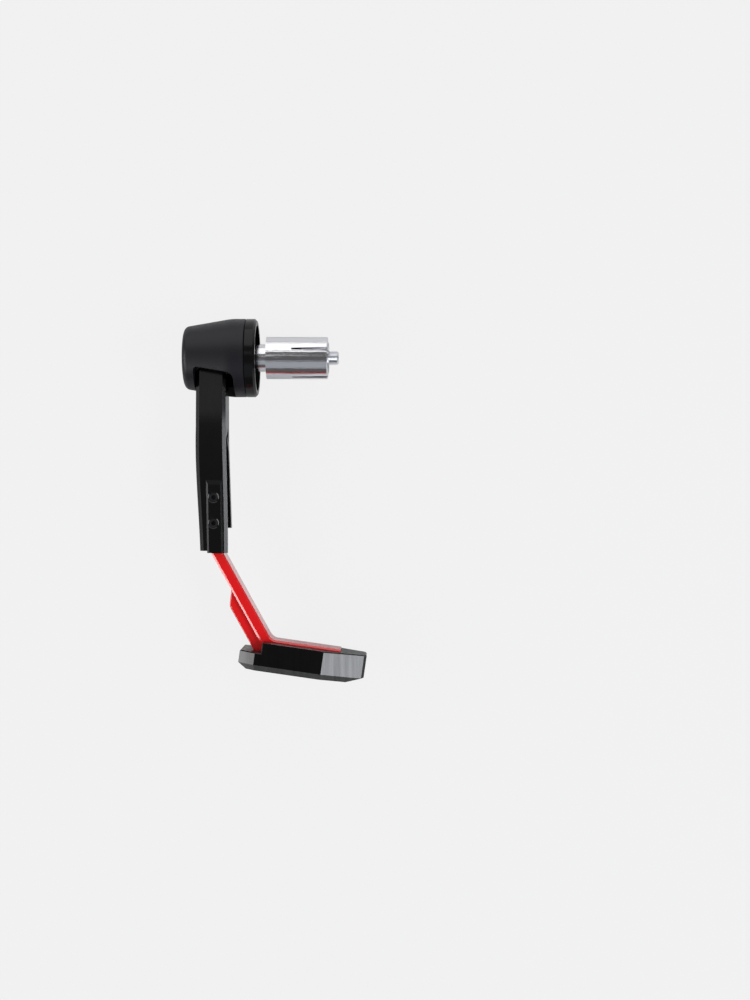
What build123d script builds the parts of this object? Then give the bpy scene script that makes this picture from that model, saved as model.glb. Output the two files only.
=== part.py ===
from build123d import *
import math
import os

# Bar-end guard for a motorbike's brake lever, right-hand side, in millimetres and degrees.
# X runs along the handlebar towards the middle of the bike, Y points back to the rider, Z is up.
# The origin is on the bar's axis, at the shoulder where the expander sleeve starts.

# Bar end: cup and collar
guard_diameter = 33.5
collar_width = 4.65
collar_edge = 0.9
seam_edge = 0.3
grip_recess_diameter = 28.0
grip_recess_depth = 2.5
bar_seat_diameter = 22.6
bar_seat_depth = 0.8
neck_socket_depth = 1.0
lip_length = 1.6
spigot_diameter = 16.0
cup_length = 26.4
cup_straight = 6.15
cup_small_diameter = 26.5
cup_end_round = 2.5
cup_shoulder_round = 25.0
cup_end_wall = 5.3
cup_bore = 25.0
notch_depth = 12.1
notch_fall = 2.9
notch_width = 16.45
notch_lean = 1.0
notch_round = 3.5
notch_outer_round = 1.5
notch_inset = 0.45

# Clamp bolt and its washer
bolt_diameter = 6.0
bolt_head_diameter = 10.5
bolt_head_height = 2.4
bolt_head_round = 1.2
bolt_socket = 4.0
bolt_socket_depth = 1.6
bolt_head_sunk = 0.3
bolt_tail = 4.6
bolt_tip_chamfer = 0.7
washer_diameter = 11.0
washer_thickness = 0.8

# Expander that grips inside the bar
neck_diameter = 11.7
neck_length = 4.0
sleeve_diameter = 18.0
sleeve_length = 26.3
sleeve_edge = 0.4
slot_count = 4
slot_length = 15.3
slot_root_width = 0.8
slot_mouth_width = 1.7
slot_phase = 21.0
cone_length = 11.6
cone_small_diameter = 8.4
cone_large_diameter = 13.2
cone_proud = 0.4

# Arm
eye_width = 12.85
eye_inset = 4.3
arm_reach = 83.5
arm_bend_reach = 26.0
arm_bend_run = 7.0
arm_bend_steps = 5
arm_bow_reach = 38.0
arm_neck_depth = 13.6
arm_depth = 16.0
arm_width = 12.75
arm_bow_width = 12.95
arm_waist_width = 12.6
arm_tip_width = 11.7
arm_sweep = 1.42
arm_outer_chamfer = 1.6
arm_inner_chamfer = 1.4
arm_inner_drop = 0.8
arm_edge_chamfer = 0.7
arm_flange = 2.2
arm_groove = 1.1
rib_start_reach = 30.0
rib_swell_reach = 40.0
rib_end_reach = 73.0
rib_swell = 0.43
rib_height = 0.74
front_rail_depth = 11.8
panel_width = 5.2
panel_offset = 0.25
panel_drift = 0.5
panel_outer_slope = 0.8
panel_inner_slope = 0.75
panel_height = 0.5
panel_length = 30.9
panel_ramp = 1.9
rail_setback = 0.9

# Set screws in the arm
grub_diameter = 4.0
grub_length = 4.0
grub_socket = 2.0
grub_socket_depth = 1.8
grub_chamfer = 0.3
grub_mouth = 0.35
grub_mouth_depth = 0.2
lower_grub_inset = 12.7
grub_spacing = 10.9

# Red bracket
bracket_thickness = 4.65
bracket_bevel = 0.8
bracket_bevel_drop = 0.45
rib_round = 0.6
upper_bend_radius = 4.0
lower_bend_radius = 7.0
tongue_width = 8.4
tongue_hold = 2.2
tongue_offset = -0.1
mouth_depth = 2.4
slant_angle = 29.0
slant_length = 47.4
lower_leg_angle = 8.2
lower_leg_length = 31.05
leg_width = 13.0
outer_rib_height = 4.4
outer_rib_width = 8.0
outer_rib_start = 19.0
outer_rib_run = 6.2
outer_rib_round = 4.0
reach_travel = 12.0

# Blade
blade_depth = 28.0
blade_thickness = 8.8
blade_heel_length = 11.15
blade_tip_length = 11.27
blade_heel_facet = 6.65
blade_heel_taper = 3.4
blade_tip_facet = 18.2
blade_tip_taper = 7.0
blade_tip_bevel = 1.2
blade_tip_cut = 7.4
blade_tip_rise = 3.0
cheek_start = 1.95
blade_nose_lift = 0.3
cheek_rise = 3.54
blade_heel_drop = 0.92
blade_chamfer_rise = 2.65
blade_chamfer_depth = 3.4
blade_edge = 0.4

# Screws that hold the blade
blade_screw_diameter = 4.0
blade_screw_head = 8.0
blade_screw_head_height = 2.2
blade_screw_socket = 2.5
blade_screw_socket_depth = 1.6
blade_screw_sunk = 0.3
blade_screw_skin = 0.7
blade_screw_start = 8.0
blade_screw_spacing = 16.0

# Clearances
running_clearance = 0.05
bore_clearance = 0.3
slide_clearance = 0.12
thread_clearance = 0.03
head_clearance = 0.6
shoulder_clearance = 0.2
cut_overshoot = 1.0

# Stations along the bar, all worked out from the sleeve's shoulder at zero
sleeve_start_x = 0.0
collar_rim_x = sleeve_start_x - neck_length
collar_back_x = collar_rim_x - collar_width
cup_open_x = collar_back_x - running_clearance
cup_end_x = cup_open_x - cup_length
cup_taper_x = cup_open_x - cup_straight
eye_outer_x = cup_end_x + cup_end_wall
eye_inner_x = eye_outer_x + eye_width
eye_middle_x = eye_outer_x + eye_width / 2
bar_seat_x = collar_rim_x - grip_recess_depth - bar_seat_depth
neck_start_x = bar_seat_x - neck_socket_depth
sleeve_end_x = sleeve_start_x + sleeve_length
cone_end_x = sleeve_end_x + cone_proud
cone_start_x = cone_end_x - cone_length
bolt_head_x = cup_end_x + bolt_head_sunk
washer_outer_x = bolt_head_x + bolt_head_height
washer_inner_x = washer_outer_x + washer_thickness
counterbore_x = washer_inner_x + running_clearance
bolt_end_x = sleeve_end_x + bolt_tail

# Radii shared by the pieces on the bar axis
guard_radius = guard_diameter / 2
bolt_radius = bolt_diameter / 2
eye_radius = cup_bore / 2 - eye_inset

# Arm stations, along -Y
arm_front_z = arm_depth / 2
ledge_z = arm_front_z - front_rail_depth
arm_tip_x = eye_middle_x + arm_sweep
arm_end_y = -arm_reach
panel_front_z = arm_front_z + panel_height

# Bracket route in the XY plane
tongue_x = arm_tip_x + tongue_offset
panel_top_x = tongue_x + panel_offset
panel_end_x = panel_top_x + panel_drift
upper_bend_y = arm_end_y + mouth_depth
slant_x = math.sin(math.radians(slant_angle))
slant_y = -math.cos(math.radians(slant_angle))
lower_bend_x = tongue_x + slant_length * slant_x
lower_bend_y = upper_bend_y + slant_length * slant_y
lower_x = math.cos(math.radians(lower_leg_angle))
lower_y = -math.sin(math.radians(lower_leg_angle))
lower_end_x = lower_bend_x + lower_leg_length * lower_x
lower_end_y = lower_bend_y + lower_leg_length * lower_y
lower_grub_y = arm_end_y + lower_grub_inset
upper_grub_y = lower_grub_y + grub_spacing
tongue_top_y = upper_grub_y + tongue_hold + reach_travel

# Frame of the lower leg and the blade: local X along the leg, local Y to its inner face
lower_leg_plane = Plane(
    origin=(lower_bend_x, lower_bend_y, 0), x_dir=(lower_x, lower_y, 0), z_dir=(0, 0, 1)
)
leg_inner_v = bracket_thickness / 2
leg_outer_v = -leg_inner_v
cheek_top_v = leg_outer_v + cheek_rise
blade_heel_v = leg_outer_v - blade_heel_drop
blade_bottom_v = leg_outer_v - blade_thickness
blade_chamfer_v = blade_bottom_v + blade_chamfer_rise
blade_heel_u = -blade_heel_length
blade_tip_u = lower_leg_length + blade_tip_length
blade_screw_v = blade_bottom_v + blade_screw_sunk
blade_screw_tip_v = leg_inner_v - blade_screw_skin


def turned(*points):
    """Body turned about the bar axis, from points of station and radius."""
    return revolve(Polygon(*points, align=None), axis=Axis.X)


def round_bar(radius, start_x, end_x):
    """Plain round body on the bar axis."""
    return turned((start_x, 0), (start_x, radius), (end_x, radius), (end_x, 0))


def plate(*points, depth):
    """Flat outline in the XY plane, thickened evenly to both sides."""
    return extrude(Polygon(*points, align=None), amount=depth / 2, both=True)


def hex_prism(across_flats, depth):
    """Six-sided key socket that starts at the origin and runs along Z."""
    return extrude(RegularPolygon(across_flats / math.sqrt(3), 6), amount=depth)


def make_bar_end_cup():
    profile = Polygon(
        (cup_end_x, 0),
        (cup_end_x, cup_small_diameter / 2),
        (cup_taper_x, guard_radius),
        (cup_open_x - seam_edge, guard_radius),
        (cup_open_x, guard_radius - seam_edge),
        (cup_open_x, 0),
        align=None,
    )
    end_corner = profile.vertices().sort_by_distance((cup_end_x, cup_small_diameter / 2))[0]
    profile = fillet(end_corner, cup_end_round)
    shoulder = profile.vertices().sort_by_distance((cup_taper_x, guard_radius))[0]
    cup = revolve(fillet(shoulder, cup_shoulder_round), axis=Axis.X)
    cup -= round_bar(cup_bore / 2, eye_outer_x, cup_open_x + cut_overshoot)
    cup -= round_bar(bolt_radius + bore_clearance, cup_end_x - cut_overshoot, cup_open_x)
    cup -= round_bar(washer_diameter / 2 + head_clearance, cup_end_x - cut_overshoot, counterbore_x)
    notch_top_y = notch_depth - guard_radius
    notch_outer_x = eye_outer_x - notch_inset
    notch_inner_x = eye_outer_x + notch_width
    notch = Polygon(
        (notch_outer_x, notch_top_y),
        (notch_outer_x, -guard_diameter),
        (notch_inner_x + notch_lean, -guard_diameter),
        (notch_inner_x, notch_top_y - notch_fall),
        align=None,
    )
    notch = fillet(notch.vertices().sort_by(Axis.Y)[-2], notch_round)
    notch = fillet(notch.vertices().sort_by_distance((notch_outer_x, notch_top_y))[0], notch_outer_round)
    eye_passage = Pos(eye_outer_x, notch_top_y, 0) * Box(
        eye_width + slide_clearance,
        guard_diameter,
        2 * (eye_radius + slide_clearance),
        align=(Align.MIN, Align.MAX, Align.CENTER),
    )
    return cup - extrude(notch, amount=guard_diameter) - eye_passage


def make_inner_collar():
    spigot_x = eye_inner_x + running_clearance
    lip_x = collar_back_x - lip_length
    lip_radius = cup_bore / 2 - bore_clearance
    collar = turned(
        (spigot_x, 0),
        (spigot_x, spigot_diameter / 2),
        (lip_x, spigot_diameter / 2),
        (lip_x, lip_radius),
        (collar_back_x, lip_radius),
        (collar_back_x, guard_radius - seam_edge),
        (collar_back_x + seam_edge, guard_radius),
        (collar_rim_x - collar_edge, guard_radius),
        (collar_rim_x, guard_radius - collar_edge),
        (collar_rim_x, 0),
    )
    recess_floor_x = collar_rim_x - grip_recess_depth
    collar -= round_bar(grip_recess_diameter / 2, recess_floor_x, collar_rim_x + cut_overshoot)
    collar -= round_bar(bar_seat_diameter / 2, bar_seat_x, collar_rim_x)
    collar -= round_bar(neck_diameter / 2 + bore_clearance, neck_start_x, collar_rim_x)
    return collar - round_bar(bolt_radius + bore_clearance, spigot_x - cut_overshoot, collar_rim_x)


def make_clamp_bolt():
    head = round_bar(bolt_head_diameter / 2, bolt_head_x, washer_outer_x)
    head = fillet(head.edges().filter_by(GeomType.CIRCLE).sort_by(Axis.X)[0], bolt_head_round)
    shank = turned(
        (bolt_head_x + bolt_head_height / 2, 0),
        (bolt_head_x + bolt_head_height / 2, bolt_radius),
        (bolt_end_x - bolt_tip_chamfer, bolt_radius),
        (bolt_end_x, bolt_radius - bolt_tip_chamfer),
        (bolt_end_x, 0),
    )
    socket = Pos(bolt_head_x, 0, 0) * Rot(0, 90, 0) * hex_prism(bolt_socket, bolt_socket_depth)
    return head + shank - socket


def make_bolt_washer():
    washer = round_bar(washer_diameter / 2, washer_outer_x, washer_inner_x)
    return washer - round_bar(
        bolt_radius + bore_clearance, washer_outer_x - cut_overshoot, washer_inner_x + cut_overshoot
    )


def make_expander_sleeve():
    sleeve = turned(
        (neck_start_x, 0),
        (neck_start_x, neck_diameter / 2),
        (sleeve_start_x, neck_diameter / 2),
        (sleeve_start_x, sleeve_diameter / 2),
        (sleeve_end_x - sleeve_edge, sleeve_diameter / 2),
        (sleeve_end_x, sleeve_diameter / 2 - sleeve_edge),
        (sleeve_end_x, 0),
    )
    sleeve -= round_bar(
        bolt_radius + bore_clearance, neck_start_x - cut_overshoot, sleeve_end_x + cut_overshoot
    )
    sleeve -= cone_body(thread_clearance)
    slot_start_x = sleeve_end_x - slot_length
    slot = extrude(
        Polygon(
            (slot_start_x, -slot_root_width / 2),
            (sleeve_end_x, -slot_mouth_width / 2),
            (sleeve_end_x + cut_overshoot, -slot_mouth_width / 2),
            (sleeve_end_x + cut_overshoot, slot_mouth_width / 2),
            (sleeve_end_x, slot_mouth_width / 2),
            (slot_start_x, slot_root_width / 2),
            align=None,
        ),
        amount=sleeve_diameter,
    )
    for number in range(slot_count):
        sleeve -= Rot(-slot_phase + number * 360 / slot_count, 0, 0) * slot
    return sleeve


def cone_body(grown):
    """Solid wedge of the expander, with its skin moved outwards by a clearance."""
    return turned(
        (cone_start_x - grown, 0),
        (cone_start_x - grown, cone_small_diameter / 2 + grown),
        (cone_end_x, cone_large_diameter / 2 + grown),
        (cone_end_x, 0),
    )


def make_expander_cone():
    return cone_body(0) - round_bar(
        bolt_radius + thread_clearance, cone_start_x - cut_overshoot, cone_end_x + cut_overshoot
    )


def arm_section(reach, middle_x, width, depth):
    """Cross-section of the arm at a distance from the bar axis."""
    outer_x = middle_x - width / 2
    inner_x = middle_x + width / 2
    front_z = depth / 2
    return Plane.XZ.offset(reach) * Polygon(
        (outer_x, arm_outer_chamfer - front_z),
        (outer_x, front_z - arm_outer_chamfer),
        (outer_x + arm_outer_chamfer, front_z),
        (inner_x - arm_inner_chamfer, front_z),
        (inner_x, front_z - arm_inner_drop),
        (inner_x, arm_edge_chamfer - front_z),
        (inner_x - arm_edge_chamfer, -front_z),
        (outer_x + arm_outer_chamfer, -front_z),
        align=None,
    )


def make_main_arm():
    eye = round_bar(eye_radius, eye_outer_x, eye_inner_x)
    neck_reach = eye_radius / 2
    neck_flare = (arm_depth - arm_neck_depth) / (arm_bend_reach - neck_reach)
    bend_end_reach = arm_bend_reach + arm_bend_run / 2
    neck_sections = [arm_section(neck_reach, eye_middle_x, arm_width, arm_neck_depth)]
    for step in range(arm_bend_steps + 1):
        run_left = arm_bend_run * (1 - step / arm_bend_steps)
        depth = arm_depth - neck_flare * run_left**2 / (2 * arm_bend_run)
        neck_sections.append(arm_section(bend_end_reach - run_left, eye_middle_x, arm_width, depth))
    neck = loft(neck_sections, ruled=True)
    waist_reach = (arm_bow_reach + arm_reach) / 2
    waist_x = eye_middle_x + arm_sweep / 2
    beam = loft([
        neck_sections[-1],
        arm_section(arm_bow_reach, eye_middle_x, arm_bow_width, arm_depth),
        arm_section(waist_reach, waist_x, arm_waist_width, arm_depth),
        arm_section(arm_reach, arm_tip_x, arm_tip_width, arm_depth),
    ])
    arm = eye + neck + beam - arm_inner_groove()
    arm += arm_panel() + arm_inner_rib()
    arm -= arm_end_cuts()
    arm -= bracket_pocket()
    for grub_y in (upper_grub_y, lower_grub_y):
        arm -= Pos(tongue_x, grub_y, 0) * Cylinder(
            grub_diameter / 2 + thread_clearance,
            arm_depth,
            align=(Align.CENTER, Align.CENTER, Align.MIN),
        )
        arm -= Pos(tongue_x, grub_y, 0) * grub_mouth_cone()
    return arm - round_bar(
        bolt_radius + running_clearance, eye_outer_x - cut_overshoot, eye_inner_x + cut_overshoot
    )


def grub_mouth_cone():
    """Shallow countersink around a set screw's hole in the panel."""
    hole_radius = grub_diameter / 2 + thread_clearance
    mouth_z = panel_front_z - grub_mouth_depth
    return revolve(
        Plane.XZ * Polygon(
            (0, mouth_z),
            (hole_radius, mouth_z),
            (hole_radius + grub_mouth, panel_front_z),
            (0, panel_front_z),
            align=None,
        ),
        axis=Axis.Z,
    )


def panel_section(station_y, middle_x):
    """Cross-section of the raised strip, from the arm's middle to the strip's top."""
    outer_x = middle_x - panel_width / 2
    inner_x = middle_x + panel_width / 2
    return Plane.XZ.offset(-station_y) * Polygon(
        (outer_x - panel_outer_slope, 0),
        (inner_x + panel_inner_slope, 0),
        (inner_x + panel_inner_slope, arm_front_z),
        (inner_x, panel_front_z),
        (outer_x, panel_front_z),
        (outer_x - panel_outer_slope, arm_front_z),
        align=None,
    )


def arm_panel():
    """Raised strip on the arm's front that carries the set screws and follows the arm's lean."""
    top_y = arm_end_y + panel_length
    strip = loft([panel_section(top_y, panel_top_x), panel_section(arm_end_y, panel_end_x)])
    ramp = Plane.YZ * Polygon(
        (top_y - panel_ramp, panel_front_z),
        (top_y, arm_front_z),
        (top_y, panel_front_z),
        align=None,
    )
    return strip - extrude(ramp, amount=arm_reach, both=True)


def arm_inner_groove():
    """Groove between the arm's front flange and its rib, which fades out towards the bar."""
    outline = Polygon(
        (eye_middle_x + arm_width / 2, -rib_start_reach),
        (eye_middle_x + arm_bow_width / 2 - arm_groove, -rib_swell_reach),
        (arm_tip_x + arm_tip_width / 2 - arm_groove, arm_end_y - cut_overshoot),
        (arm_tip_x + arm_tip_width, arm_end_y - cut_overshoot),
        (arm_tip_x + arm_tip_width, -rib_start_reach),
        align=None,
    )
    return Pos(0, 0, ledge_z) * extrude(outline, amount=arm_front_z - arm_flange - ledge_z)


def arm_inner_rib():
    """Flange along the back of the arm's inner side, wider towards its square end."""
    outline = Polygon(
        (eye_middle_x, -rib_start_reach),
        (eye_middle_x + arm_width / 2 - arm_edge_chamfer, -rib_start_reach),
        (eye_middle_x + arm_bow_width / 2 + rib_swell, -rib_swell_reach),
        (arm_tip_x + arm_tip_width / 2 + rib_height, -rib_end_reach),
        (eye_middle_x, -rib_end_reach),
        align=None,
    )
    return Pos(0, 0, ledge_z) * extrude(outline, amount=arm_edge_chamfer - arm_front_z - ledge_z)


def arm_end_cuts():
    """Step at the back of the arm's end, and the shortened outer rail beside the panel."""
    long_cut = 2 * arm_depth
    heel = Pos(tongue_x, -rib_end_reach, ledge_z) * Box(
        long_cut, long_cut, long_cut, align=(Align.CENTER, Align.MAX, Align.MAX)
    )
    panel_outer_x = panel_end_x - panel_width / 2 - panel_outer_slope
    rail = Pos(panel_outer_x, arm_end_y + rail_setback, 0) * Box(
        long_cut, long_cut, long_cut, align=(Align.MAX, Align.MAX, Align.CENTER)
    )
    return heel + rail


def bracket_path(top_y):
    """Middle line of the bracket plate from a point on the tongue to the end of the slanted leg."""
    return (tongue_x, top_y), (tongue_x, upper_bend_y), (lower_bend_x, lower_bend_y)


def swept_plate(points, radii, section):
    """Plate of one cross-section bent along a route in the XY plane."""
    route = FilletPolyline(*points, radius=radii)
    start = Plane(origin=route @ 0, x_dir=(0, 0, 1), z_dir=route % 0)
    return sweep(start * section, path=route)


def bracket_pocket():
    """Space in the arm for the tongue, straight for its travel and flared for the slanted leg."""
    room = bracket_thickness + 2 * slide_clearance
    width = tongue_width + 2 * slide_clearance
    pocket_top_y = tongue_top_y + slide_clearance
    pocket = swept_plate(bracket_path(pocket_top_y), [upper_bend_radius], Rectangle(width, room))
    straight_length = pocket_top_y - arm_end_y + cut_overshoot
    straight = Pos(tongue_x, pocket_top_y, 0) * Box(
        room, straight_length, width, align=(Align.CENTER, Align.MAX, Align.CENTER)
    )
    return pocket + straight


def bracket_section():
    """Cross-section of the bracket plate, with its front and back edges bevelled."""
    half_width = leg_width / 2
    half_thickness = bracket_thickness / 2
    corner = (
        (half_width, half_thickness - bracket_bevel),
        (half_width - bracket_bevel_drop, half_thickness),
    )
    upper = corner + tuple((-width, height) for width, height in reversed(corner))
    lower = tuple((width, -height) for width, height in reversed(upper))
    return Polygon(*upper, *lower, align=None)


def make_reach_bracket():
    bent = swept_plate(
        bracket_path(tongue_top_y) + ((lower_end_x, lower_end_y),),
        [upper_bend_radius, lower_bend_radius],
        bracket_section(),
    )
    far = tongue_top_y - lower_end_y
    tongue_half = tongue_width / 2
    leg_half = leg_width / 2
    shoulder_y = arm_end_y - shoulder_clearance
    outline = Plane.YZ * Polygon(
        (far, -tongue_half),
        (shoulder_y, -tongue_half),
        (shoulder_y, -leg_half),
        (shoulder_y - far, -leg_half),
        (shoulder_y - far, leg_half),
        (shoulder_y, leg_half),
        (shoulder_y, tongue_half),
        (far, tongue_half),
        align=None,
    )
    bracket = bent & extrude(outline, amount=far, both=True)
    bracket += bracket_outer_rib()
    for screw_u in blade_screw_stations():
        bracket -= lower_leg_plane * Pos(screw_u, 0, 0) * blade_screw_body(thread_clearance)
    return bracket


def bracket_outer_rib():
    """Stiffening rib down the outer side of the slanted leg, seated on the blade's heel."""
    slant_frame = Plane(
        origin=(tongue_x, upper_bend_y, 0), x_dir=(slant_x, slant_y, 0), z_dir=(0, 0, 1)
    )
    crest = -bracket_thickness / 2 - outer_rib_height
    outline = Polygon(
        (outer_rib_start, 0),
        (outer_rib_start, -bracket_thickness / 2),
        (outer_rib_start + outer_rib_run, crest),
        (slant_length + blade_heel_length, crest),
        (slant_length, 0),
        align=None,
    )
    corner = outline.vertices().sort_by(Axis.X)[2]
    outline = fillet(corner, outer_rib_round)
    rib = extrude(outline, amount=outer_rib_width / 2, both=True)
    rib_faces = rib.faces().sort_by(Axis.Z)
    rib = slant_frame * fillet(rib_faces[0].edges() + rib_faces[-1].edges(), rib_round)
    seat_size = 2 * (slant_length + blade_heel_length)
    below_heel = Pos(0, blade_heel_v, 0) * Box(
        seat_size, seat_size, seat_size, align=(Align.CENTER, Align.MAX, Align.CENTER)
    )
    below_leg = Pos(-cheek_start - slide_clearance, leg_outer_v, 0) * Box(
        seat_size, seat_size, seat_size, align=(Align.MIN, Align.MAX, Align.CENTER)
    )
    return rib - lower_leg_plane * below_heel - lower_leg_plane * below_leg


def blade_plan(drawn_out):
    """Outline of the blade seen square to its outer face, with its ends drawn out along the facets."""
    half = blade_depth / 2
    heel_half = half - blade_heel_taper * (1 + drawn_out / blade_heel_facet)
    tip_half = half - blade_tip_taper * (1 + drawn_out / blade_tip_facet)
    corners = (
        (blade_heel_u - drawn_out, -heel_half),
        (blade_heel_u + blade_heel_facet, -half),
        (blade_tip_u - blade_tip_facet, -half),
        (blade_tip_u + drawn_out, -tip_half),
    )
    mirrored = [(u, -z) for u, z in reversed(corners)]
    return Polygon(*corners, *mirrored, align=None)


def blade_blank():
    """Blade without its channel and screw holes, in the lower leg's frame."""
    side = plate(
        (blade_heel_u, blade_heel_v),
        (-cheek_start, blade_heel_v),
        (-cheek_start, cheek_top_v),
        (blade_tip_u - blade_tip_facet, cheek_top_v),
        (blade_tip_u, cheek_top_v + blade_nose_lift),
        (blade_tip_u, blade_bottom_v + blade_tip_rise),
        (blade_tip_u - blade_tip_cut, blade_bottom_v),
        (blade_heel_u + blade_chamfer_depth, blade_bottom_v),
        (blade_heel_u, blade_chamfer_v),
        depth=blade_depth,
    )
    plan = blade_plan(0)
    plan = chamfer(plan.vertices().group_by(Axis.X)[-1], blade_tip_bevel)
    belt = blade_plan(blade_chamfer_depth)
    foot = offset(belt, -blade_chamfer_depth, kind=Kind.INTERSECTION)
    belt_plane = Plane.XZ.offset(-blade_chamfer_v)
    lower = loft([belt_plane * belt, Plane.XZ.offset(-blade_bottom_v) * foot], ruled=True)
    upper = extrude(belt_plane * belt, amount=-blade_depth)
    blank = side & extrude(Plane.XZ * plan, amount=blade_depth, both=True) & (lower + upper)
    upper_faces = blank.faces().filter_by(faces_rider).sort_by(Axis.X)
    cheek_end = blank.faces().filter_by(Axis.X).sort_by_distance((-cheek_start, cheek_top_v, 0))[0]
    heel_edges = upper_faces[0].edges().sort_by(Axis.X)[:-1]
    nose_edges = upper_faces[-1].edges().sort_by(Axis.X)[1:]
    return chamfer(heel_edges + nose_edges + cheek_end.edges().filter_by(Axis.Y), blade_edge)


def faces_rider(face):
    """Whether a face of the blade looks to the rider's side."""
    return face.normal_at().Y > math.cos(math.radians(lower_leg_angle))


def make_lever_blade():
    blade = blade_blank()
    channel_length = blade_heel_length + lower_leg_length + slide_clearance
    blade -= Pos(blade_heel_u, leg_outer_v, 0) * Box(
        channel_length,
        blade_depth,
        leg_width + 2 * slide_clearance,
        align=(Align.MIN, Align.MIN, Align.CENTER),
    )
    for screw_u in blade_screw_stations():
        blade -= Pos(screw_u, 0, 0) * blade_screw_body(thread_clearance)
        blade -= Pos(screw_u, blade_screw_v, 0) * Rot(90, 0, 0) * Cylinder(
            blade_screw_head / 2 + thread_clearance,
            blade_thickness,
            align=(Align.CENTER, Align.CENTER, Align.MIN),
        )
    return lower_leg_plane * blade


def blade_screw_stations():
    """Places of the two blade screws along the lower leg."""
    return blade_screw_start, blade_screw_start + blade_screw_spacing


def blade_screw_body(grown):
    """Countersunk screw without its socket, in the lower leg's frame, with its skin moved out."""
    head_radius = blade_screw_head / 2 + grown
    shank_radius = blade_screw_diameter / 2 + grown
    tip_v = blade_screw_tip_v + grown
    return revolve(
        Polygon(
            (0, blade_screw_v),
            (head_radius, blade_screw_v),
            (shank_radius, blade_screw_v + blade_screw_head_height),
            (shank_radius, tip_v),
            (0, tip_v),
            align=None,
        ),
        axis=Axis.Y,
    )


def make_blade_screw(screw_u):
    socket = hex_prism(blade_screw_socket, blade_screw_socket_depth)
    screw = blade_screw_body(0) - Pos(0, blade_screw_v, 0) * Rot(-90, 0, 0) * socket
    return lower_leg_plane * Pos(screw_u, 0, 0) * screw


def make_grub_screw(grub_y):
    foot_z = tongue_width / 2 + running_clearance
    top_z = foot_z + grub_length
    radius = grub_diameter / 2
    screw = revolve(
        Plane.XZ * Polygon(
            (0, foot_z),
            (radius - grub_chamfer, foot_z),
            (radius, foot_z + grub_chamfer),
            (radius, top_z - grub_chamfer),
            (radius - grub_chamfer, top_z),
            (0, top_z),
            align=None,
        ),
        axis=Axis.Z,
    )
    screw -= Pos(0, 0, top_z - grub_socket_depth) * hex_prism(grub_socket, grub_socket_depth)
    return Pos(tongue_x, grub_y, 0) * screw


near_screw_u, far_screw_u = blade_screw_stations()
pieces = {
    "bar_end_cup": make_bar_end_cup(),
    "inner_collar": make_inner_collar(),
    "clamp_bolt": make_clamp_bolt(),
    "bolt_washer": make_bolt_washer(),
    "expander_sleeve": make_expander_sleeve(),
    "expander_cone": make_expander_cone(),
    "main_arm": make_main_arm(),
    "grub_screw_upper": make_grub_screw(upper_grub_y),
    "grub_screw_lower": make_grub_screw(lower_grub_y),
    "reach_bracket": make_reach_bracket(),
    "lever_blade": make_lever_blade(),
    "blade_screw_near": make_blade_screw(near_screw_u),
    "blade_screw_far": make_blade_screw(far_screw_u),
}

os.makedirs("parts", exist_ok=True)
for name, piece in pieces.items():
    export_step(piece, f"parts/{name}.step")
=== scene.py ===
import math

import bmesh
import bpy
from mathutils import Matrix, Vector


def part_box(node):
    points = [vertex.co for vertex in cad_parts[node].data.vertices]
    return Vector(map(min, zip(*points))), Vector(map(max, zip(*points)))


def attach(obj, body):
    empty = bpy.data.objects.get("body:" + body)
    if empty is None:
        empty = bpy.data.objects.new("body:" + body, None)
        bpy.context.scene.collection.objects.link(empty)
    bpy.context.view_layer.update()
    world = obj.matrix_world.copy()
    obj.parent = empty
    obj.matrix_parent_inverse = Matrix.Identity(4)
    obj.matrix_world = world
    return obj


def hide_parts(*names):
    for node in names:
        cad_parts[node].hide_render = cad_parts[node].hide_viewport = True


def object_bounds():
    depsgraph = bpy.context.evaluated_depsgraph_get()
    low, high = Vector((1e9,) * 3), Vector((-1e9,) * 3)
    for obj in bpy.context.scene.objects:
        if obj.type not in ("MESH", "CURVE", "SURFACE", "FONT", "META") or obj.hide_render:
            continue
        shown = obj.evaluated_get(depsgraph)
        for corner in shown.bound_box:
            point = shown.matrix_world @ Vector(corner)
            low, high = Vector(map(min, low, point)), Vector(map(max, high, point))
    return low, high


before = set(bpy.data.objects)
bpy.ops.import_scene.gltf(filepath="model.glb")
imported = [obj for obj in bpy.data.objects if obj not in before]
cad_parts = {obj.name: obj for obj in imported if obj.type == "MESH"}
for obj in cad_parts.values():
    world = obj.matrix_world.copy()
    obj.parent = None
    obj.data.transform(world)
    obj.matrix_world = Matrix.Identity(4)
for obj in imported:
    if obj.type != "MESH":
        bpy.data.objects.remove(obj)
cad_low, cad_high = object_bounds()

# Looks of a bar-end guard for a brake lever, in metres, in the frame of its solids:
# X along the handlebar, Y back to the rider, Z up to the camera.

# Picture: size, scale at the height of the bar axis, and the eye straight above its middle
picture_pixels_high = 1000
metres_per_pixel = 0.00043
eye_height = 0.600
picture_middle = (0.0465, -0.061)
sensor_size = 36.0

# Ground and backdrop
ground_gap = 0.0004
ground_size = 12.0
ground_colour = (0.893, 0.893, 0.893, 1)
ground_matt_colour = (0.62, 0.62, 0.62, 1)
ground_shadow_share = 0.06
ground_mirror_share = 0.12
backdrop_colour = (0.845, 0.845, 0.845, 1)

# Studio light, and the power of a square metre of lamp for each unit of its radiance
ceiling_colour = (0.10, 0.10, 0.10, 1)
studio_middle = Vector((0.0, -0.06, 0.0))
lamp_power = 4
neutral_light = (1.0, 1.0, 1.0)
cool_light = (0.93, 0.96, 1.0)
blue_light = (0.84, 0.91, 1.0)

# Clamp bolt: the thread cut on its inner end
thread_pitch = 0.001
thread_depth = 0.00052
thread_length = 0.016
thread_crest_gain = 1.3
thread_tip_chamfer = 0.0007
thread_sides = 48
thread_rings_per_turn = 12
same_station = 1e-6
same_point = 1e-7

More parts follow.
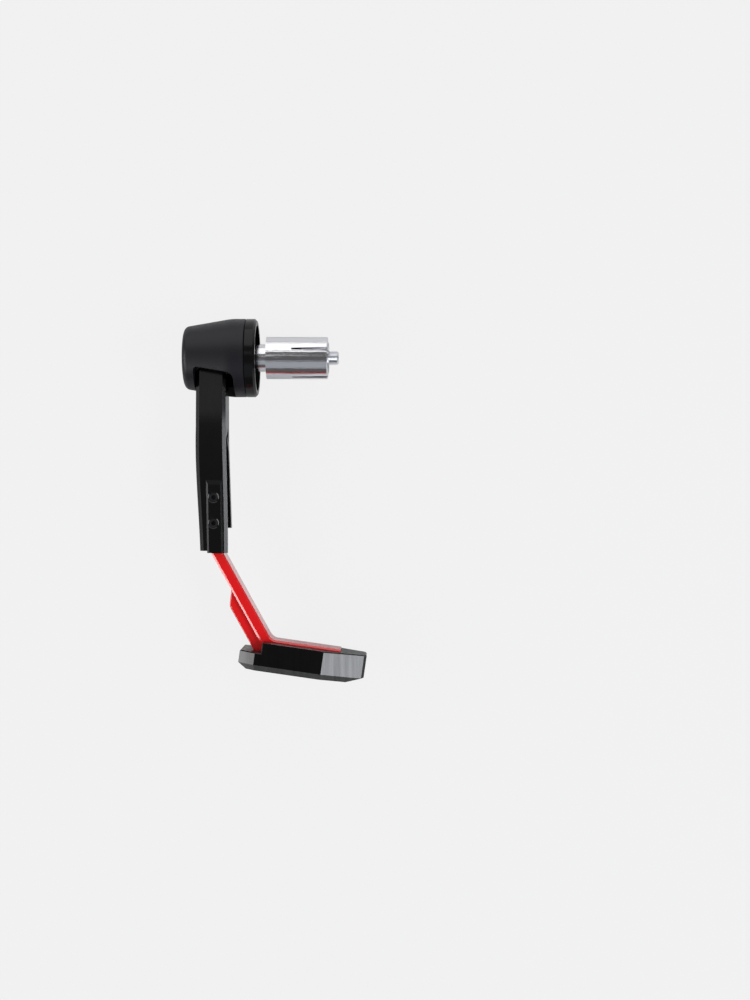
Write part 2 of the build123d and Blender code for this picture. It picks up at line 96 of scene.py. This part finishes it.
# Directions of tool marks: how much of each axis the pattern keeps
evenly = (1, 1, 1)
round_the_bar = (1, 0.02, 0.02)
along_the_arm = (1, 0.03, 1)
across_the_blade = (1, 0.05, 0.05)
across_the_bracket = (1, 1, 0.05)
drawn_along_bar = (0.015, 1, 1)
dashed_along_bar = (0.2, 1, 1)

# Finishes: mirror is the reflection level, shades are the dark and light ends of a colour,
# lumps are counted to the metre, and reliefs are depths in metres
turning_lumps = 2600
turning_detail = 2
mark_detail = 3

# Satin black cup
cup_mirror = 0.35
cup_shades = (0.0046, 0.0045, 0.0070, 1), (0.0072, 0.0070, 0.0100, 1)
cup_grain_lumps = 9000
cup_roughness = 0.38
cup_turning_roughness = 0.08
cup_turning_share = 0.6
cup_relief = 0.000012

# Gloss black collar and arm
gloss_shades = (0.0022, 0.0022, 0.0023, 1), (0.0034, 0.0034, 0.0036, 1)
gloss_cloud_lumps = 350
gloss_mark_lumps = 1800
gloss_mark_roughness = 0.05
gloss_relief = 0.000002
collar_mirror = 0.28
collar_roughness = 0.16
arm_mirror = 0.4
arm_roughness = 0.17

# Polished black blade
blade_mirror = 0.26
blade_mark_lumps = 600
blade_roughness = 0.10
blade_mark_roughness = 0.08
blade_relief = 0.000040
rider_side_roughness = 0.28
rider_side_power = 6
streak_gain = 1.6
streak_threshold = 0.5
streak_coat = 0.45
heel_polish_length = 0.0078
heel_coat = 0.5

# Red bracket
red_mirror = 0.6
red_shades = (0.63, 0.0025, 0.004, 1), (0.72, 0.004, 0.006, 1)
red_cloud_lumps = 260
red_brush_lumps = 2500
red_roughness = 0.18
red_brush_roughness = 0.1
red_coat_roughness = 0.12

# Bright metals: drawn sleeve, zinc-plated cone, washer and bolt
draw_lumps = 2200
dash_lumps = 1800
draw_dark_share = 0.84
draw_roughness = 0.08
turned_roughness = 0.05
dash_share = 0.8
turned_share = 0.1
sleeve_colour = (0.93, 0.925, 0.955)
sleeve_roughness = 0.08
sleeve_relief = 0.000040
zinc_colour = (0.78, 0.79, 0.82)
zinc_roughness = 0.20
zinc_relief = 0.000006
bolt_colour = (0.84, 0.85, 0.88)
bolt_roughness = 0.16

# Black steel of the small screws
oxide_metallic = 0.6
oxide_shades = (0.015, 0.015, 0.016, 1), (0.04, 0.04, 0.042, 1)
oxide_grain_lumps = 5000
oxide_roughness = 0.28
oxide_grain_roughness = 0.15
oxide_relief = 0.000004

# Numbers of the colour mix's sockets, because their names repeat
mix_share, mix_first, mix_second, mix_result = 0, 6, 7, 2


class Value:
    """A number at a socket of a node tree, so that sums on it can be written as expressions."""

    def __init__(self, nodes, socket):
        self.nodes = nodes
        self.socket = socket

    def sum(self, operation, first, second):
        return self.nodes.add("ShaderNodeMath", {"operation": operation}, {0: first, 1: second})

    def __add__(self, other):
        return self.sum("ADD", self, other)

    def __radd__(self, other):
        return self.sum("ADD", other, self)

    def __sub__(self, other):
        return self.sum("SUBTRACT", self, other)

    def __rsub__(self, other):
        return self.sum("SUBTRACT", other, self)

    def __mul__(self, other):
        return self.sum("MULTIPLY", self, other)

    def __rmul__(self, other):
        return self.sum("MULTIPLY", other, self)

    def __truediv__(self, other):
        return self.sum("DIVIDE", self, other)

    def __rtruediv__(self, other):
        return self.sum("DIVIDE", other, self)

    def __pow__(self, other):
        return self.sum("POWER", self, other)

    def __rpow__(self, other):
        return self.sum("POWER", other, self)

    def largest(self, other):
        return self.sum("MAXIMUM", self, other)


class Nodes:
    """A node tree of a finish, of the ground or of the world."""

    def __init__(self, tree):
        self.tree = tree

    def add(self, kind, settings=None, sockets=None, output=0):
        """Add a node, set it up, then give its sockets values or links, and return one of its outputs."""
        node = self.tree.nodes.new(kind)
        for name, setting in (settings or {}).items():
            setattr(node, name, setting)
        for name, value in (sockets or {}).items():
            self.feed(node.inputs[name], value)
        return Value(self, node.outputs[output])

    def feed(self, socket, value):
        if isinstance(value, Value):
            self.tree.links.new(value.socket, socket)
        else:
            socket.default_value = value

    def blend(self, share, first, second):
        """Colour between two."""
        sockets = {mix_share: share, mix_first: first, mix_second: second}
        return self.add("ShaderNodeMix", {"data_type": "RGBA"}, sockets, output=mix_result)

    def ray(self, kind):
        """One where the surface is met by a ray of a kind, and otherwise zero."""
        return self.add("ShaderNodeLightPath", output=kind)

    def component(self, vector, axis):
        return self.add("ShaderNodeSeparateXYZ", {}, {0: vector}, output=axis)


class Finish(Nodes):
    """A surface finish: one principled shader, with what varies over the surface fed to it."""

    def __init__(self, name, **constants):
        self.material = bpy.data.materials.new(name)
        self.material.use_nodes = True
        super().__init__(self.material.node_tree)
        self.shader = self.tree.nodes["Principled BSDF"]
        for socket, value in constants.items():
            self.shader.inputs[socket.replace("_", " ")].default_value = value

    def drive(self, socket, value):
        self.feed(self.shader.inputs[socket], value)

    def place(self):
        """Position on the part at rest, in metres."""
        return self.add("ShaderNodeTexCoord", output="Object")

    def facing(self):
        """Direction that the surface looks in, with the part at rest."""
        return self.add("ShaderNodeTexCoord", output="Normal")

    def noise(self, lumps, detail, stretch=evenly):
        """Cloudy pattern from 0 to 1, with a number of lumps to the metre."""
        stretched = self.add(
            "ShaderNodeVectorMath", {"operation": "MULTIPLY"}, {0: self.place(), 1: stretch}
        )
        return self.add(
            "ShaderNodeTexNoise", {}, {"Vector": stretched, "Scale": lumps, "Detail": detail}
        )

    def colour(self, share, shades):
        """Colour between a dark and a light shade, by a pattern."""
        self.drive("Base Color", self.blend(share, *shades))

    def relief(self, height, depth):
        """Raise the surface by a pattern from 0 to 1 times a depth in metres."""
        bump = self.add("ShaderNodeBump", {}, {"Height": height, "Distance": depth, "Strength": 1.0})
        self.drive("Normal", bump)


def satin_cup_finish():
    """Bead-blasted and black anodised, with faint turning marks round the bar axis."""
    finish = Finish("satin_black_anodised", Specular_IOR_Level=cup_mirror)
    grain = finish.noise(cup_grain_lumps, mark_detail)
    turning = finish.noise(turning_lumps, turning_detail, round_the_bar)
    finish.colour(grain, cup_shades)
    finish.drive("Roughness", cup_roughness + cup_turning_roughness * turning)
    finish.relief(cup_turning_share * turning + (1 - cup_turning_share) * grain, cup_relief)
    return finish.material


def gloss_black_finish(name, stretch, mirror, roughness):
    """Polished and black anodised, with faint marks along one direction."""
    finish = Finish(name, Specular_IOR_Level=mirror)
    clouds = finish.noise(gloss_cloud_lumps, mark_detail)
    marks = finish.noise(gloss_mark_lumps, mark_detail, stretch)
    finish.colour(clouds, gloss_shades)
    finish.drive("Roughness", roughness + gloss_mark_roughness * marks)
    finish.relief(marks, gloss_relief)
    return finish.material


def blade_finish():
    """Polished black with cross marks from the cutter, duller to the rider and brighter at the heel."""
    finish = Finish("polished_black_blade", Specular_IOR_Level=blade_mirror)
    clouds = finish.noise(gloss_cloud_lumps, mark_detail)
    marks = finish.noise(blade_mark_lumps, mark_detail, across_the_blade)
    finish.colour(clouds, gloss_shades)
    rider_side = finish.component(finish.facing(), "Y").largest(0.0) ** rider_side_power
    finish.drive(
        "Roughness",
        blade_roughness + blade_mark_roughness * marks + rider_side_roughness * rider_side,
    )
    streaks = (streak_gain * marks - streak_threshold).largest(0.0)
    heel_end_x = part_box("lever_blade")[0][0] + heel_polish_length
    heel = ((heel_end_x - finish.component(finish.place(), "X")) / heel_polish_length).largest(0.0)
    finish.drive("Coat Weight", streak_coat * streaks + heel_coat * heel)
    finish.relief(marks, blade_relief)
    return finish.material


def red_finish():
    """Bright red anodised over fine brushing, and sealed with a clear coat."""
    finish = Finish(
        "red_anodised",
        Specular_IOR_Level=red_mirror,
        Coat_Weight=1.0,
        Coat_Roughness=red_coat_roughness,
    )
    clouds = finish.noise(red_cloud_lumps, mark_detail)
    brushing = finish.noise(red_brush_lumps, mark_detail, across_the_bracket)
    finish.colour(clouds, red_shades)
    finish.drive("Roughness", red_roughness + red_brush_roughness * brushing)
    return finish.material


def bright_metal_finish(name, colour, roughness, depth):
    """Bare bright metal, drawn along the bar axis to a depth in metres and then turned."""
    finish = Finish(name, Metallic=1.0)
    turning = finish.noise(turning_lumps, turning_detail, round_the_bar)
    drawing = finish.noise(draw_lumps, mark_detail, drawn_along_bar)
    dashes = finish.noise(dash_lumps, mark_detail, dashed_along_bar)
    dark = (*(draw_dark_share * part for part in colour), 1)
    finish.colour(drawing, (dark, (*colour, 1)))
    finish.drive("Roughness", roughness + turned_roughness * turning + draw_roughness * drawing)
    finish.relief(drawing + dash_share * dashes + turned_share * turning, depth)
    return finish.material


def black_oxide_finish():
    """Oiled black steel of the small screws."""
    finish = Finish("black_oxide_steel", Metallic=oxide_metallic)
    grain = finish.noise(oxide_grain_lumps, mark_detail)
    finish.colour(grain, oxide_shades)
    finish.drive("Roughness", oxide_roughness + oxide_grain_roughness * grain)
    finish.relief(grain, oxide_relief)
    return finish.material


screw_steel = black_oxide_finish()
finishes = {
    "bar_end_cup": satin_cup_finish(),
    "inner_collar": gloss_black_finish(
        "gloss_black_collar", round_the_bar, collar_mirror, collar_roughness
    ),
    "main_arm": gloss_black_finish("gloss_black_arm", along_the_arm, arm_mirror, arm_roughness),
    "lever_blade": blade_finish(),
    "reach_bracket": red_finish(),
    "expander_sleeve": bright_metal_finish(
        "drawn_aluminium", sleeve_colour, sleeve_roughness, sleeve_relief
    ),
    "expander_cone": bright_metal_finish("zinc_steel_cone", zinc_colour, zinc_roughness, zinc_relief),
    "bolt_washer": bright_metal_finish("zinc_steel_washer", zinc_colour, zinc_roughness, zinc_relief),
    "clamp_bolt": bright_metal_finish("zinc_steel_bolt", bolt_colour, bolt_roughness, zinc_relief),
    "grub_screw_upper": screw_steel,
    "grub_screw_lower": screw_steel,
    "blade_screw_near": screw_steel,
    "blade_screw_far": screw_steel,
}
for name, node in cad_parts.items():
    node.data.materials.clear()
    node.data.materials.append(finishes[name])


def thread_point(along, turn, end_x, radius):
    """Point on the bolt's thread, from a station on the bar axis and a share of a turn."""
    flank = abs(2 * ((along / thread_pitch - turn) % 1) - 1)
    crest = min(1.0, thread_crest_gain * flank)
    reach = radius - thread_depth * (1 - crest)
    reach = min(reach, radius - thread_tip_chamfer + end_x - along)
    angle = math.tau * turn
    return along, reach * math.cos(angle), reach * math.sin(angle)


def thread_rings(shell, start_x, end_x, radius):
    """Rings of points along the bolt's thread, from where it starts to the bolt's end."""
    steps = round(thread_length / thread_pitch * thread_rings_per_turn)
    return [
        [
            shell.verts.new(
                thread_point(start_x + thread_length * step / steps, side / thread_sides, end_x, radius)
            )
            for side in range(thread_sides)
        ]
        for step in range(steps + 1)
    ]


def make_bolt():
    """Clamp bolt with its plain head and shank kept, and a real thread on its end."""
    end_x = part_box("clamp_bolt")[1][0]
    start_x = end_x - thread_length
    shell = bmesh.new()
    shell.from_mesh(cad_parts["clamp_bolt"].data)
    bmesh.ops.remove_doubles(shell, verts=shell.verts, dist=same_point)
    bmesh.ops.bisect_plane(
        shell,
        geom=shell.verts[:] + shell.edges[:] + shell.faces[:],
        plane_co=(start_x, 0, 0),
        plane_no=(1, 0, 0),
        clear_outer=True,
    )
    cut = [vert.co for vert in shell.verts if abs(vert.co.x - start_x) < same_station]
    radius = max(math.hypot(point.y, point.z) for point in cut)
    rings = thread_rings(shell, start_x, end_x, radius)
    for near, far in zip(rings, rings[1:]):
        for side in range(thread_sides):
            after = (side + 1) % thread_sides
            shell.faces.new((near[side], near[after], far[after], far[side])).smooth = True
    shell.faces.new(rings[-1])
    step_edges = [
        edge
        for edge in shell.edges
        if edge.is_boundary and abs(edge.verts[0].co.x - start_x) < same_station
    ]
    bmesh.ops.bridge_loops(shell, edges=step_edges)
    bmesh.ops.remove_doubles(shell, verts=shell.verts, dist=same_point)
    bmesh.ops.recalc_face_normals(shell, faces=shell.faces[:])
    mesh = bpy.data.meshes.new("clamp_bolt_threaded")
    shell.to_mesh(mesh)
    shell.free()
    bolt = bpy.data.objects.new("clamp_bolt_threaded", mesh)
    bpy.context.scene.collection.objects.link(bolt)
    mesh.materials.append(finishes["clamp_bolt"])
    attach(bolt, "bar_plug")
    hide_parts("clamp_bolt")


def make_softbox(name, azimuth, tilt, distance, width, height, radiance, colour):
    """Lamp that faces the part from a compass direction, tilted off the vertical, both in degrees."""
    lamp = bpy.data.lights.new(name, "AREA")
    lamp.shape = "RECTANGLE"
    lamp.size = width
    lamp.size_y = height
    lamp.energy = lamp_power * radiance * width * height
    lamp.color = colour
    holder = bpy.data.objects.new(name, lamp)
    out = math.sin(math.radians(tilt))
    from_part = Vector((
        out * math.sin(math.radians(azimuth)),
        out * math.cos(math.radians(azimuth)),
        math.cos(math.radians(tilt)),
    ))
    holder.location = studio_middle + distance * from_part
    holder.rotation_euler = from_part.to_track_quat("Z", "Y").to_euler()
    holder.visible_camera = False
    bpy.context.scene.collection.objects.link(holder)


def make_lamps():
    """Sheet behind the part, a box at each side, and two panels that the round pieces mirror."""
    make_softbox(
        "rear_sheet", azimuth=0, tilt=61, distance=0.9,
        width=1.8, height=0.92, radiance=0.88, colour=neutral_light,
    )
    make_softbox(
        "right_box", azimuth=105, tilt=44, distance=0.9,
        width=0.60, height=0.22, radiance=9.8, colour=cool_light,
    )
    make_softbox(
        "left_box", azimuth=-105, tilt=58, distance=0.9,
        width=0.85, height=0.36, radiance=4.7, colour=neutral_light,
    )
    make_softbox(
        "high_panel", azimuth=-31, tilt=15.6, distance=0.92,
        width=0.14, height=0.13, radiance=0.55, colour=neutral_light,
    )
    make_softbox(
        "front_panel", azimuth=182, tilt=40, distance=0.95,
        width=0.80, height=0.72, radiance=0.22, colour=blue_light,
    )


def make_ground():
    """Pale table under the part, which keeps a faint shadow."""
    mesh = bpy.data.meshes.new("ground")
    half = ground_size / 2
    corners = [(-half, -half, 0), (half, -half, 0), (half, half, 0), (-half, half, 0)]
    mesh.from_pydata(corners, [], [(0, 1, 2, 3)])
    ground = bpy.data.objects.new("ground", mesh)
    ground.location.z = cad_low.z - ground_gap
    bpy.context.scene.collection.objects.link(ground)
    material = bpy.data.materials.new("pale_ground")
    material.use_nodes = True
    nodes = Nodes(material.node_tree)
    nodes.tree.nodes.remove(nodes.tree.nodes["Principled BSDF"])
    looked_at = nodes.ray("Is Camera Ray").largest(nodes.ray("Is Transmission Ray"))
    mirrored = nodes.ray("Is Glossy Ray")
    seen = (1 - ground_shadow_share) * looked_at + ground_mirror_share * mirrored
    matt = nodes.add("ShaderNodeBsdfDiffuse", {}, {"Color": ground_matt_colour})
    glow = nodes.add("ShaderNodeEmission", {}, {"Color": ground_colour, "Strength": 1.0})
    mixed = nodes.add("ShaderNodeMixShader", {}, {0: seen, 1: matt, 2: glow})
    nodes.feed(nodes.tree.nodes["Material Output"].inputs["Surface"], mixed)
    mesh.materials.append(material)


def make_world():
    """Dim ceiling over the part, pale behind it."""
    world = bpy.data.worlds.new("studio")
    world.use_nodes = True
    bpy.context.scene.world = world
    nodes = Nodes(world.node_tree)
    background = nodes.tree.nodes["Background"]
    colour = nodes.blend(nodes.ray("Is Camera Ray"), ceiling_colour, backdrop_colour)
    nodes.feed(background.inputs["Color"], colour)
    nodes.feed(background.inputs["Strength"], 1.0)


def make_camera():
    """Eye straight above the middle of the picture."""
    camera = bpy.data.cameras.new("eye")
    camera.sensor_width = sensor_size
    camera.lens = sensor_size * eye_height / (picture_pixels_high * metres_per_pixel)
    camera.dof.use_dof = False
    holder = bpy.data.objects.new("eye", camera)
    holder.location = (*picture_middle, eye_height)
    bpy.context.scene.collection.objects.link(holder)
    bpy.context.scene.camera = holder


make_bolt()
make_lamps()
make_ground()
make_world()
make_camera()
bpy.context.scene.view_settings.view_transform = "Standard"
